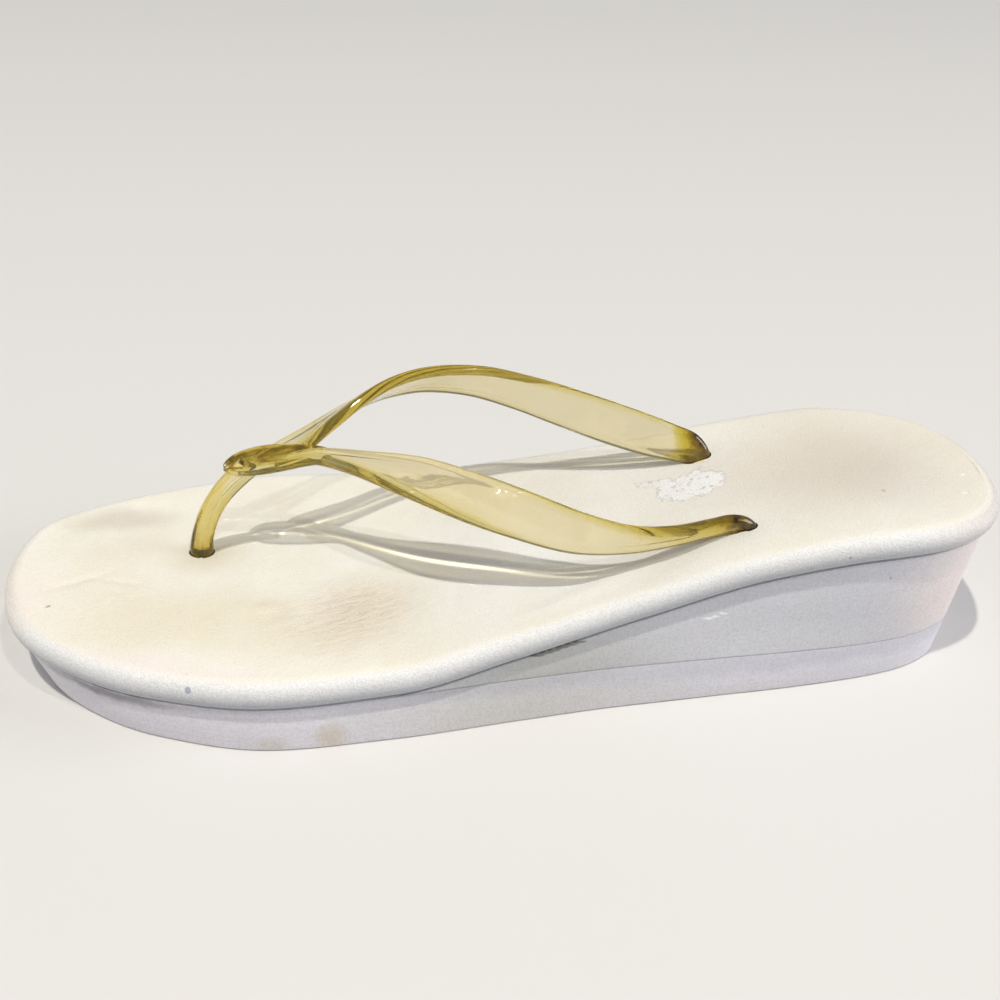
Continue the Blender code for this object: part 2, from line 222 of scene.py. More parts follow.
# Coated leather. The sizes of its patterns are in millimetres.
LEATHER_CLEAN = "F9F7EE"
LEATHER_WORN = "F2ECDC"
LEATHER_PAINTED_SHADE = "C2C5CC"  # painted shade, low on the rim's side
# Painted light, high on the rim's shoulder.
LEATHER_PAINTED_LIGHT = "F7F7F7"
LEATHER_PIT = "B4B2AE"  # dirt between the pebbles
PITS_ON_RIM = 0.3  # how much of that dirt shows
PITS_ON_TOP = 0.07
GRIME_CLOUD = 38.0
GRAIN = 0.45  # between the embossed pebbles
GRAIN_DEPTH = 0.13
FINE_GRAIN = 0.6
CREASE = 1.5  # between the fine creases under the ball of the foot
CREASE_DEPTH = 1.8  # drawn deeper than real, because the creases are too fine for their shade to show
CREASE_TURN = -0.45  # radians
CREASE_STRETCH = 0.35  # a crease is longer than it is wide by one over this
SLACK = 9.0  # between the soft waves of the cover over its padding
SLACK_DEPTH = 0.8
FLAKE = 1.3  # across a flake of the lifted coat
FLAKE_DEPTH = 0.7
FLAKE_GROUP = 2.4  # between the gaps among the flakes
FLAKE_SPREAD = 1.4  # how strongly those gaps eat into the patch
# Painted shade between the lifted flakes.
SCUFF_SHADE = "CFC7B6"

# Foam.
FOAM_PLATFORM = "EAE7EF"
FOAM_WEDGE = "D9DAE1"
FOAM_LINE = "C9CAD2"
FOAM_WORN = "D2D2D8"
WORN_CLOUD = 30.0
SAW_LINE = 0.7  # between the lines of the cut, drawn coarser than real so that they show
SAW_STRETCH = 0.025  # a line of the cut is longer than it is thick by one over this
SAW_DEPTH = 0.12
PORE = 0.6  # drawn coarser than real, as the lines are
PORE_DEPTH = 0.15
TREAD = 3.2  # between the ribs under the sole
TREAD_TURN = 6.0  # from one bend of a rib to the next
TREAD_DEPTH = 0.6

# Clear plastic.
PVC_TINT = "EDE16C"
PVC_DENSITY = 105.0
PVC_CLARITY = 0.93  # the rest is the haze of old plastic
PVC_CLARITY_DEEP = 0.28  # little light comes back here: painted shade at its ends and in the knot's hollow
FLOW = 6.0  # between the soft waves that moulding leaves
FLOW_DEPTH = 0.4
STREAK = 3.2  # between streaks of more and of less colour
STREAK_GOLD = 0.22  # how much more or less golden a streak is

# The plastic's colour, from where light passes straight through to where it is caught along an edge; the
# golden stops are painted light caught in it, and the darkest are painted shade at its ends and in the knot's
# hollow.
PVC_GOLD = (
    (0.0, "FDF5DF"),
    (0.12, "F8EFC8"),
    (0.26, "F0E4A2"),
    (0.46, "E8DA8E"),
    (0.62, "E6D368"),
    (0.74, "D3BD4E"),
    (0.86, "987C1C"),
    (1.0, "362402"),
)

# What the strap lets through of a lamp, from one edge of a blade to the other: it gathers light like a lens.
LENS = (
    (0.0, "736E66"),
    (0.07, "8C887F"),
    (0.14, "ADABA7"),
    (0.40, "A7A5A1"),
    (0.44, "FEFDF9"),
    (0.51, "FEFDF9"),
    (0.54, "736E66"),
    (0.72, "7E796F"),
    (0.78, "AEACA9"),
    (0.93, "A6A49E"),
    (1.0, "736E66"),
)
LENS_GAIN = 1.6  # where it gathers, light is brighter than the lamp alone by this much

# Marks of wear and tone, some of them painted light and shade, as noted: centre, half sizes, turn in degrees,
# colour, strength and softness.
Mark = namedtuple("Mark", "x y z long wide tall turn colour strength soft")
DEEP = 400.0  # a mark this tall ignores height
STAINS = (
    Mark(-84.0, -20.0, 20.0, 44.0, 17.0, DEEP, 8.0, "EAE0C6", 0.55, 0.8),  # small toes
    Mark(-52.0, -28.0, 20.0, 26.0, 13.0, DEEP, 0.0, "EADFC6", 0.5, 0.8),
    Mark(-60.0, -16.5, 20.0, 9.0, 5.0, DEEP, 15.0, "DCD0B0", 0.35, 0.8),  # dent
    Mark(-99.0, 21.5, 20.0, 20.0, 6.5, DEEP, 2.0, "D5CABA", 0.6, 0.8),  # big toe
    Mark(4.0, -6.0, 26.0, 36.0, 28.0, DEEP, 0.0, "FFFFFB", 0.9, 1.0),  # clean under the arch
    Mark(-88.0, -36.0, 20.0, 46.0, 9.0, DEEP, -12.0, "F6EDE8", 0.8, 1.0),  # clean along the edge
    Mark(-116.0, -10.0, 20.0, 10.0, 22.0, DEEP, 0.0, "F7EEE8", 0.7, 1.0),
    Mark(-37.0, -16.0, 20.0, 22.0, 17.0, DEEP, 20.0, "E6D8C0", 0.5, 1.0),  # ball
    Mark(-78.0, 6.0, 20.0, 14.0, 10.0, DEEP, 0.0, "E6DCC4", 0.4, 0.9),  # round the post
    Mark(60.0, 4.0, 40.0, 40.0, 26.0, DEEP, -10.0, "E4DCCE", 0.75, 1.0),  # heel
    Mark(90.0, 9.0, 47.0, 50.0, 42.0, DEEP, 0.0, "D8CFC3", 0.95, 1.0),
)
BALL_DIRT = Mark(-39.5, -17.0, 20.0, 26.0, 20.0, DEEP, 25.0, "D0B99C", 0.42, 1.0)
SCUFF = Mark(47.8, 7.8, 39.0, 13.5, 8.8, DEEP, 8.0, "FFFFFF", 1.0, 1.0)
SCUFF_TAIL = Mark(40.5, 12.3, 39.0, 9.0, 2.8, DEEP, -12.0, "FFFFFF", 0.8, 1.0)
RIM_MARKS = (
    Mark(122.0, 4.0, 44.0, 34.0, 60.0, DEEP, 0.0, "E1DAD7", 1.0, 0.8),
    Mark(-124.0, -4.0, 16.0, 18.0, 34.0, DEEP, 0.0, "F3EBE2", 0.9, 0.9),
)
FLECKS = (
    Mark(-111.9, -14.2, 20.0, 0.9, 0.5, DEEP, 30.0, "9A8A76", 0.6, 0.4),
    Mark(93.4, -5.7, 47.0, 0.7, 0.6, DEEP, 0.0, "A08C74", 0.5, 0.4),
    Mark(113.3, -8.8, 47.0, 0.8, 0.8, DEEP, 0.0, "FFFFFF", 0.6, 0.4),
    Mark(116.2, -0.6, 47.0, 0.9, 0.6, DEEP, 40.0, "FFFFFF", 0.6, 0.4),
    Mark(-76.7, -43.1, 18.5, 0.9, 6.0, 0.8, 0.0, "8E98AE", 0.7, 0.4),
    Mark(77.8, -27.8, 43.0, 0.5, 6.0, 0.5, 0.0, "A08C70", 0.7, 0.4),
)
# Painted light on the walls of the holes: a pale gold for the light that the strap in them brings down.
HOLE_WALLS_PAINTED_LIGHT = tuple(
    Mark(rows[-1].x, rows[-1].y, depth, 4.2, 4.2, 6.0, 0.0, "EBD9A8", 1.0, 0.25)
    for rows, depth in ((POST, 13.6), (OUTER_BAND, 36.0), (INNER_BAND, 36.0))
)
PLATFORM_MARKS = (
    Mark(-45.0, -43.0, 3.0, 6.2, 20.0, 6.0, 0.0, "CFC6B2", 0.7, 0.9),
    Mark(-58.5, -44.0, 1.8, 6.0, 20.0, 3.6, 0.0, "D2CABA", 0.5, 0.9),
    Mark(-10.0, -37.0, 2.0, 20.0, 20.0, 4.0, 0.0, "DCD7CE", 0.4, 0.8),
    Mark(60.0, -28.0, 1.0, 40.0, 20.0, 3.0, 0.0, "DEDAD4", 0.4, 0.8),
    Mark(0.0, -36.0, 8.0, 60.0, 30.0, 20.0, 0.0, "CBCAC4", 0.8, 1.0),
    Mark(84.0, -28.0, 6.0, 60.0, 30.0, 20.0, 0.0, "E2E2EC", 0.6, 1.0),
    # Painted shadow of the rim, along the top of the platform's wall at the toe.
    Mark(-97.0, -38.0, 10.9, 24.0, 60.0, 2.4, 0.0, "959196", 0.85, 0.9),
    Mark(56.0, -32.0, 12.4, 130.0, 60.0, 7.8, 0.0, "CCCCD6", 0.72, 0.6),
    Mark(0.0, -36.0, 12.4, 34.0, 60.0, 6.0, 0.0, "B4B4B6", 0.5, 0.8),
)
WEDGE_MARKS = (
    Mark(6.0, -35.0, 14.0, 46.0, 30.0, 20.0, 0.0, "BEBFBA", 0.8, 1.0),
    # Painted light on the heel end of the wedge, with a pinkish tone.
    Mark(118.0, -14.0, 26.0, 34.0, 34.0, 34.0, 0.0, "F0E5E3", 0.9, 0.8),
    Mark(46.6, -29.4, 25.2, 2.4, 20.0, 0.5, 0.0, "FAFAFC", 0.9, 0.4),
    Mark(49.4, -29.4, 26.2, 1.6, 20.0, 0.4, 0.0, "FAFAFC", 0.9, 0.4),
    Mark(91.4, -26.2, 34.2, 0.5, 20.0, 0.5, 0.0, "A89E92", 0.7, 0.4),
    Mark(66.0, -29.0, 14.0, 56.0, 40.0, 12.0, 0.0, "F2F3F7", 0.36, 0.9),
)
JOINT_LINE = Mark(20.0, -30.0, BASE, 140.0, 60.0, 0.5, 0.0, "9C9CA2", 0.4, 0.5)
# A sliver is missing along the wedge's upper edge, where the arch starts to climb. It is not cut but painted
# as shade, with a row of dark marks that follow the footbed's underside, and their height is counted from
# there.
SLIVER_PAINTED_SHADE = Mark(0.0, -34.0, -0.5, 2.4, 20.0, 0.45, 0.0, "7C7A73", 0.85, 0.5)
SLIVER_PLACES = (4, 6, 8, 10, 12, 14)

# The room, by height: the sine of the angle above the horizon.
ROOM = ((0.0, "8E8C8A"), (0.12, "A9A8A8"), (0.35, "DCDFE8"), (0.7, "F2F4FC"), (1.0, "FFFFFF"))
ROOM_LIGHT = 0.36
FLOOR_PAINT = "DFDEDC"
FLOOR_REACH = 4.0  # metres
MOST_BOUNCES = 24  # turns of a ray in all
PLASTIC_BOUNCES = 20  # turns of a ray at and inside the clear plastic

# The lamps: which way each one lies from the shoe, its size in metres, and its power.
Lamp = namedtuple("Lamp", "name x y z size watts colour shape")
LAMP_DISTANCE = 2.4  # metres
LAMPS = (
    Lamp("ceiling_lamp", -0.2, -0.23, 0.95, 0.07, 31.0, "FFFAEE", "DISK"),
    Lamp("second_lamp", 0.22, -0.41, 0.885, 0.07, 9.0, "FFFBF5", "DISK"),
    Lamp("side_window", 0.95, -0.12, 0.3, 1.2, 28.0, "FDFCFF", "SQUARE"),
    Lamp("far_window", -0.95, -0.1, 0.3, 1.2, 7.0, "FFFEFA", "SQUARE"),
)

# The camera: its place and sensor in millimetres, and its turns in degrees.
CAMERA_PLACE = (-40.7, -257.4, 220.0)
CAMERA_YAW = 8.34
CAMERA_PITCH = 34.6
CAMERA_ROLL = 4.37
CAMERA_LENS = 45.63
CAMERA_SENSOR = 36.0
CAMERA_NEAREST = 0.01  # metres


def hermite(first, second, slope_first, slope_second, share):
    """The cubic from one value to the next, with slopes given for the whole step."""
    square, cube = share**2, share**3
    return (
        (2 * cube - 3 * square + 1) * first
        + (cube - 2 * square + share) * slope_first
        + (3 * square - 2 * cube) * second
        + (cube - square) * slope_second
    )


def read(rows, column, place):
    """A table's column at any x, as a smooth curve that never swings past its rows."""
    places, values = [place(row.x) for row in rows], [getattr(row, column) for row in rows]
    steps = list(zip(places, places[1:], values, values[1:]))
    rises = [(high - low) / (end - start) for start, end, low, high in steps]

    def slope(i):
        before, after = rises[max(i - 1, 0)], rises[min(i, len(rises) - 1)]
        return 2 * before * after / (before + after) if before * after > 0 else 0.0

    def value_at(x):
        at = min(max(place(x), places[0]), places[-1])
        here = max(i for i in range(len(steps)) if places[i] <= at)
        start, end, low, high = steps[here]
        size = end - start
        return hermite(low, high, slope(here) * size, slope(here + 1) * size, (at - start) / size)

    return value_at


def angle_of(x):
    """Where x lies on a half circle from toe to heel, so that a column read by it ends in a round tip."""
    return math.acos(min(max(-2 * x / LENGTH, -1), 1))


outer_reach = read(PLAN, "outer", angle_of)
inner_reach = read(PLAN, "inner", angle_of)
underside = read(SIDE, "underside", float)
hollow = read(SIDE, "hollow", float)
draft = read(SIDE, "draft", float)


def edge(angle, inset):
    """The outer and inner points of the outline at this angle, moved in by this much."""
    pair = []
    for side, reach in ((-1, outer_reach), (1, inner_reach)):

        def point(at):
            x = -LENGTH / 2 * math.cos(at)
            return Vector((x, side * reach(x), 0.0))

        ahead = point(min(angle + SLOPE_STEP, math.pi)) - point(max(angle - SLOPE_STEP, 0.0))
        if angle < SLOPE_STEP or angle > math.pi - SLOPE_STEP:
            ahead = Vector((0.0, side * math.cos(angle), 0.0))
        inward = Vector((ahead.y, -ahead.x, 0.0)).normalized() * side
        pair.append(point(angle) + inward * inset)
    return pair


def outline(inset, height, start=0.0):
    """Rows of (outer, inner) points from this angle to the heel.

    The inset is a function of x, and the height is a function of a point.
    """
    rows = []
    for i in range(STATIONS + 1):
        angle = start + (math.pi - start) * i / STATIONS
        shift = inset(edge(angle, 0.0)[0].x)
        row = edge(angle, shift)
        for point in row:
            point.z = height(point)
        rows.append(row)
    return rows


def ring(rows):
    """The points round an outline: along the outer side to the heel, and back along the inner side."""
    return [row[0] for row in rows] + [row[1] for row in reversed(rows)]


def across(rows, height, columns):
    """A grid that spans an outline, with the height of the points between its edges from a function."""
    grid = []
    for outer, inner in rows:
        line = []
        for i in range(columns + 1):
            point = outer.lerp(inner, i / columns)
            if 0 < i < columns:
                point.z = height(point, 2 * i / columns - 1)
            line.append(point)
        grid.append(line)
    return grid


def solid(name, grids):
    """One closed object whose skin is these grids of points, welded where they meet."""
    mesh = bmesh.new()
    for grid in grids:
        lines = [[mesh.verts.new(point * MM) for point in line] for line in grid]
        for low, high in zip(lines, lines[1:]):
            for i in range(len(low) - 1):
                mesh.faces.new((low[i], low[i + 1], high[i + 1], high[i]))
    bmesh.ops.remove_doubles(mesh, verts=mesh.verts, dist=WELD)
    bmesh.ops.recalc_face_normals(mesh, faces=mesh.faces)
    data = bpy.data.meshes.new(name)
    mesh.to_mesh(data)
    mesh.free()
    made = bpy.data.objects.new(name, data)
    bpy.context.scene.collection.objects.link(made)
    return made


def joined(target, operation, others):
    """The target's mesh after this Boolean with each of the others, which are then removed."""
    for other in others:
        step = target.modifiers.new(other.name, "BOOLEAN")
        step.operation = operation
        step.object = other
        step.solver = "EXACT"
    evaluated = target.evaluated_get(bpy.context.evaluated_depsgraph_get())
    mesh = bpy.data.meshes.new_from_object(evaluated)
    target.modifiers.clear()
    target.data = mesh
    for other in others:
        bpy.data.objects.remove(other)


def dress(piece, node, finish):
    """Smooths a piece, gives it its material, hides the CAD node that it stands for and hangs it under the
    root body.
    """
    piece.data.materials.clear()
    piece.data.materials.append(finish)
    piece.data.shade_smooth()
    piece.data.set_sharp_from_angle(angle=math.radians(SHARP_ANGLE))
    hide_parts(node)
    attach(piece, "root")


def wall_inset(x, z):
    """How far the side wall lies inside the rim at this height."""
    share = min(z / underside(x), 1.0)
    return draft(x) + (RIM_OVERHANG - draft(x)) * share


def rounded_wall(bottom, top, low_edge, high_edge, start=0.0):
    """Outlines up a wall from one height function to the other, with its two edges rounded."""
    levels = [(bottom, rise * low_edge, shift * low_edge) for rise, shift in ROUNDED_EDGE]
    levels += [(top, -rise * high_edge, shift * high_edge) for rise, shift in reversed(ROUNDED_EDGE)]
    made = []
    for height, rise, shift in levels:

        def level(point):
            room = max(top(point) - bottom(point), LOWEST_WALL)
            return height(point) + rise * min(1.0, ROUNDING_ROOM * room)

        def inset(x):
            middle = Vector((x, 0.0, 0.0))
            return wall_inset(x, height(middle) + rise) + shift

        made.append(outline(inset, level, start))
    return made


def platform_block():
    """The walking sole: flat to stand on, sprung up a little at the toe."""

    def floor(point):
        share = max(0.0, 1 - (point.x + LENGTH / 2) / TOE_SPRING_LENGTH)
        return TOE_SPRING * share**2

    def top(point):
        return BASE - SEAM

    levels = rounded_wall(floor, top, SOLE_EDGE, JOINT_EDGE)
    grids = [
        across(levels[0], lambda point, share: floor(point), PLAIN_COLUMNS),
        [ring(level) for level in levels],
        across(levels[-1], lambda point, share: top(point), PLAIN_COLUMNS),
    ]
    return solid("platform_block", grids)


def wedge_block():
    """The wedge on the platform, from a feather edge behind the ball to the heel."""
    thinnest = BASE + WEDGE_FEATHER

    def base(point):
        return BASE

    def top(point):
        return max(underside(point.x) - SEAM, thinnest)

    under_foot = range(-int(LENGTH / 2), int(LENGTH / 2))
    front = min(angle_of(x) for x in under_foot if underside(x) - SEAM >= thinnest)
    levels = rounded_wall(base, top, JOINT_EDGE, JOINT_EDGE, front)
    floor = across(levels[0], lambda point, share: BASE, PLAIN_COLUMNS)
    roof = across(levels[-1], lambda point, share: top(point), PLAIN_COLUMNS)
    front_lines = [level[0] for level in levels]
    feather = [[outer, outer.lerp(inner, 0.5), inner] for outer, inner in front_lines]
    return solid("wedge_block", [floor, [ring(level) for level in levels], roof, feather])


def fold_height(point):
    """How far the cover is raised here by its folds and dents, in millimetres."""
    height = 0.0
    for fold in FOLDS:
        turn = math.radians(fold.turn)
        away_x, away_y = point.x - fold.x, point.y - fold.y
        along = (away_x * math.cos(turn) + away_y * math.sin(turn)) / fold.length
        beside = (away_y * math.cos(turn) - away_x * math.sin(turn)) / fold.width
        height += fold.depth * math.exp(-(along**2) - beside**2)
    return height


def footbed_cover():
    """The padded board in its leather cover: bullnosed rim, hollow, folds and the holes for the strap."""
    radius = FOOTBED_THICKNESS / 2
    levels = []
    for i in range(BULLNOSE_STEPS + 1):
        lift = -math.pi / 2 + math.pi * i / BULLNOSE_STEPS
        inset = radius * (1 - math.cos(lift))
        rise = radius * (1 + math.sin(lift))
        levels.append(outline(lambda x: inset, lambda point: underside(point.x) + rise))

    def sole_side(point, share):
        return underside(point.x)

    def foot_side(point, share):
        dish = hollow(point.x) * (1 - share**2) ** 2
        to_tip = LENGTH / 2 - FOOTBED_THICKNESS / 2 - abs(point.x)
        soft = min(1.0, SIDE_FADE * (1 - abs(share)), max(0.0, to_tip / TIP_FADE))
        waver = sum(reach * noise.noise(point / length) for reach, length in WAVERS)
        return underside(point.x) + FOOTBED_THICKNESS - dish + soft * (fold_height(point) + waver)

    grids = [
        across(levels[0], sole_side, PLAIN_COLUMNS),
        [ring(level) for level in levels],
        across(levels[-1], foot_side, COVER_COLUMNS),
    ]
    made = solid("footbed_cover", grids)
    cutters = []
    for name, rows in LEGS.items():
        cutters.append(closed(f"{name}_hole", sections(rows, STEM_GAP)[-STRAP_STEPS * HOLE_ROWS :]))
        cutters.append(recess(f"{name}_recess", rows[-1]))
    joined(made, "DIFFERENCE", cutters)
    return made


def blades(rows):
    """A strap table's rows with smooth steps between them."""
    table = []
    for i in range(len(rows) - 1):
        before, after = rows[max(i - 1, 0)], rows[min(i + 2, len(rows) - 1)]
        for step in range(STRAP_STEPS):
            share = step / STRAP_STEPS
            columns = zip(before, rows[i], rows[i + 1], after)
            values = (hermite(f, s, (s - b) / 2, (a - f) / 2, share) for b, f, s, a in columns)
            table.append(Blade(*values))
    return [*table, rows[-1]]


def side_of(rows):
    """1 for a leg that runs to the inner side of the foot, and -1 for the outer."""
    return 1 if rows[-1].y > rows[0].y else -1


def sections(rows, grow=0.0, dish=0.0):
    """Closed loops of points round a strap's blade, from its table, each side moved out by grow."""
    first, last = Vector(rows[0][:3]), Vector(rows[-1][:3])
    heading = Vector((last.x - first.x, last.y - first.y, 0.0)).normalized()
    left = Vector((-heading.y, heading.x, 0.0))
    table = blades(rows)
    loops = []
    for i, blade in enumerate(table):
        low, high = table[max(i - 1, 0)], table[min(i + 1, len(table) - 1)]
        ahead = (Vector(high[:3]) - Vector(low[:3])).normalized()
        flat = (left - ahead * left.dot(ahead)).normalized()
        up = ahead.cross(flat)
        roll = math.radians(blade.roll)
        wide = flat * math.cos(roll) - up * side_of(rows) * math.sin(roll)
        thin = ahead.cross(wide)
        loop = []
        for k in range(SECTION_POINTS + 1):
            beside, through = profile(blade.width / 2 + grow, blade.thick / 2 + grow, k / SECTION_POINTS)
            if through * thin.z > 0:
                through -= math.copysign(dish, through) * max(0.0, 1 - (2 * beside / blade.width) ** 2) ** 2
            loop.append(Vector(blade[:3]) + wide * beside + thin * through)
        loops.append(loop)
    return loops


def profile(half_width, half_thick, share):
    """A point of a blade's section, this share of the way round: flat faces between rounded, beaded edges."""
    quarter, along = divmod(4 * share, 1.0)
    along = 1 - along if quarter % 2 else along
    reach = min(EDGE_ROUNDING * half_thick, half_width)
    if along < 0.5:
        turn = math.pi * along
        beside = half_width - reach + reach * math.cos(turn)
        through = half_thick * math.sin(turn)
    else:
        beside = (half_width - reach) * 2 * (1 - along)
        through = half_thick * (1 - EDGE_BEAD * (1 - (beside / half_width) ** 4))
    return beside * (1 if quarter in (0, 3, 4) else -1), through * (1 if quarter < 2 else -1)


def closed(name, loops):
    """A solid through these sections, with a fan of faces over each end."""
    ends = [[sum(loop[1:], Vector()) / SECTION_POINTS] * len(loop) for loop in (loops[0], loops[-1])]
    return solid(name, [[ends[0], *loops, ends[1]]])


def button_floor(foot):
    """The height of a button's underside, clear of the sole below it."""
    return max(underside(foot.x + BUTTON_LENGTH / 2), underside(foot.x)) + BUTTON_GAP


def oval(foot, turns, height, grow=0.0):
    """Points round a button at these angles, moved out by grow."""
    long, wide = BUTTON_LENGTH / 2 + grow, BUTTON_WIDTH / 2 + grow
    around = [(foot.x + long * math.cos(turn), foot.y + wide * math.sin(turn)) for turn in turns]
    return [Vector((x, y, height)) for x, y in around]


def recess(name, foot):
    """The cutter for a button's recess, which is open below."""
    top = button_floor(foot) + BUTTON_HEIGHT + BUTTON_GAP
    bottom = underside(foot.x - BUTTON_LENGTH) - RECESS_OPENING
    turns = [2 * math.pi * i / BUTTON_POINTS for i in range(BUTTON_POINTS + 1)]
    rings = [oval(foot, turns, height, BUTTON_GAP) for height in (bottom, top)]
    centres = [[Vector((foot.x, foot.y, height))] * len(turns) for height in (bottom, top)]
    return solid(name, [[centres[0], *rings, centres[1]]])


def stem_with_button(rows):
    """A leg's sections, ended by its oval button under the footbed."""
    foot = rows[-1]
    floor = button_floor(foot)
    top = floor + BUTTON_HEIGHT
    loops = [loop for loop in sections(rows) if min(point.z for point in loop) > top]
    for height in (top, floor):
        turns = [math.atan2(point.y - foot.y, point.x - foot.x) for point in loops[-1]]
        loops.append(oval(foot, turns, height))
    return loops


def clear_strap():
    """The upper: post, knot and two bands moulded in one, with a button under the footbed at each stem."""
    made = closed("clear_strap", stem_with_button(INNER_BAND))
    outer = closed("outer", stem_with_button(OUTER_BAND))
    post = closed("post", stem_with_button(POST))
    knot = closed("knot", sections(KNOT, dish=KNOT_DISH))
    joined(made, "UNION", [outer, post, knot])
    note_light(made)
    return made


def note_light(strap):
    """Notes at each point how far across its blade it lies, from -1 to 1, and how much light it catches."""
    points, notes = [], []
    for rows in (POST, INNER_BAND, OUTER_BAND, KNOT):
        dish = KNOT_DISH if rows is KNOT else 0.0
        for blade, loop in zip(blades(rows), sections(rows, dish=dish)):
            for k, point in enumerate(loop):
                half = blade.width / 2
                beside = profile(half, blade.thick / 2, k / SECTION_POINTS)[0]
                lower = beside * side_of(rows)
                caught = 0.0
                for away, gold in ((half - lower, blade.low_gold), (half + lower, blade.high_gold)):
                    most = min(1.0, EDGE_GOLD + (1 - EDGE_GOLD) * gold / GOLD_REACH)
                    caught = max(caught, most * (1 - away / gold))
                # The knot's hollow is painted darker: painted shade.
                if rows is KNOT and point.z > blade.z and abs(beside) < DISH_SHARE * half:
                    caught = DISH_PAINTED_SHADE + DISH_SHADE_FADE * beside / half
                points.append(point * MM)
                notes.append((2 * beside / blade.width, caught))
    nearest = kdtree.KDTree(len(points))
    for i, point in enumerate(points):
        nearest.insert(point, i)
    nearest.balance()
    noted = [Vector(notes[nearest.find(vertex.co)[1]]) for vertex in strap.data.vertices]
    for _ in range(NOTE_SMOOTHINGS):
        sums = [note.copy() for note in noted]
        counts = [1] * len(noted)
        for line in strap.data.edges:
            for here, there in (line.vertices, reversed(line.vertices)):
                sums[here] += noted[there]
                counts[here] += 1
        noted = [total / count for total, count in zip(sums, counts)]
    across_blade = strap.data.attributes.new("across", "FLOAT", "POINT")
    gold = strap.data.attributes.new("gold", "FLOAT", "POINT")
    for i, note in enumerate(noted):
        across_blade.data[i].value, gold.data[i].value = note


def linear(hex_colour):
    """An sRGB colour such as 'F4F1EC' as linear red, green, blue and alpha."""
    made = []
    for i in (0, 2, 4):
        share = int(hex_colour[i : i + 2], 16) / 255
        made.append(share / 12.92 if share <= 0.04045 else ((share + 0.055) / 1.055) ** 2.4)
    return (*made, 1.0)


def per(size):
    """The scale of a pattern whose features are this many millimetres apart."""
    return 1 / (size * MM)


def add(tree, kind, inputs=None, **settings):
    """Adds a node with its settings, and sets or links its inputs by their name or number.

    An input is given a value, a socket, or a node whose first live output is meant. The two colours that a
    Mix node blends are its inputs 6 and 7.
    """
    node = tree.nodes.new("ShaderNode" + kind)
    for name, value in settings.items():
        setattr(node, name, value)
    for name, value in (inputs or {}).items():
        if isinstance(value, bpy.types.Node):
            value = next(socket for socket in value.outputs if socket.enabled)
        if isinstance(value, bpy.types.NodeSocket):
            tree.links.new(value, node.inputs[name])
        else:
            node.inputs[name].default_value = value
    return node


def set_stops(stripe, stops):
    """Gives a stripe of colours its (place, hex colour) stops."""
    ends = stripe.elements
    ends[0].position, ends[0].color = stops[0][0], linear(stops[0][1])
    ends[1].position, ends[1].color = stops[-1][0], linear(stops[-1][1])
    for place, colour in stops[1:-1]:
        ends.new(place).color = linear(colour)


def new_material(name):
    made = bpy.data.materials.new(name)
    made.use_nodes = True
    made.node_tree.nodes.clear()
    return made, made.node_tree


def warped(tree, where, pitch, reach):
    """The same place, pushed about by up to reach millimetres, so that what lies on it gets a ragged edge."""
    cloud = add(tree, "TexNoise", {"Vector": where, "Scale": per(pitch), "Detail": 4.0})
    push = add(tree, "VectorMath", {0: cloud.outputs["Color"], 1: (0.5, 0.5, 0.5)}, operation="SUBTRACT")
    push = add(tree, "VectorMath", {0: push, "Scale": 2 * reach * MM}, operation="SCALE")
    return add(tree, "VectorMath", {0: where, 1: push}, operation="ADD")


def blot(tree, where, mark):
    """How much of a mark lies at each place, from 0 outside it to its strength in the middle."""
    place = add(
        tree,
        "Mapping",
        {
            "Vector": where,
            "Location": Vector((mark.x, mark.y, mark.z)) * MM,
            "Rotation": (0.0, 0.0, math.radians(mark.turn)),
            "Scale": Vector((mark.long, mark.wide, mark.tall)) * MM,
        },
        vector_type="TEXTURE",
    )
    ball = add(tree, "TexGradient", {"Vector": place}, gradient_type="SPHERICAL")
    amount = {"Value": ball.outputs["Fac"], "From Max": mark.soft, "To Max": mark.strength}
    return add(tree, "MapRange", amount, interpolation_type="SMOOTHSTEP")


def marked(tree, where, colour, marks):
    """The colour with each of these marks laid over it in turn."""
    for mark in marks:
        amount = blot(tree, where, mark)
        colour = add(tree, "Mix", {0: amount, 6: colour, 7: linear(mark.colour)}, data_type="RGBA")
    return colour


def facing_up(tree):
    """1 where the surface looks straight up, 0 on a wall and -1 underneath."""
    normal = add(tree, "NewGeometry").outputs["Normal"]
    return add(tree, "SeparateXYZ", {0: normal}).outputs["Z"]


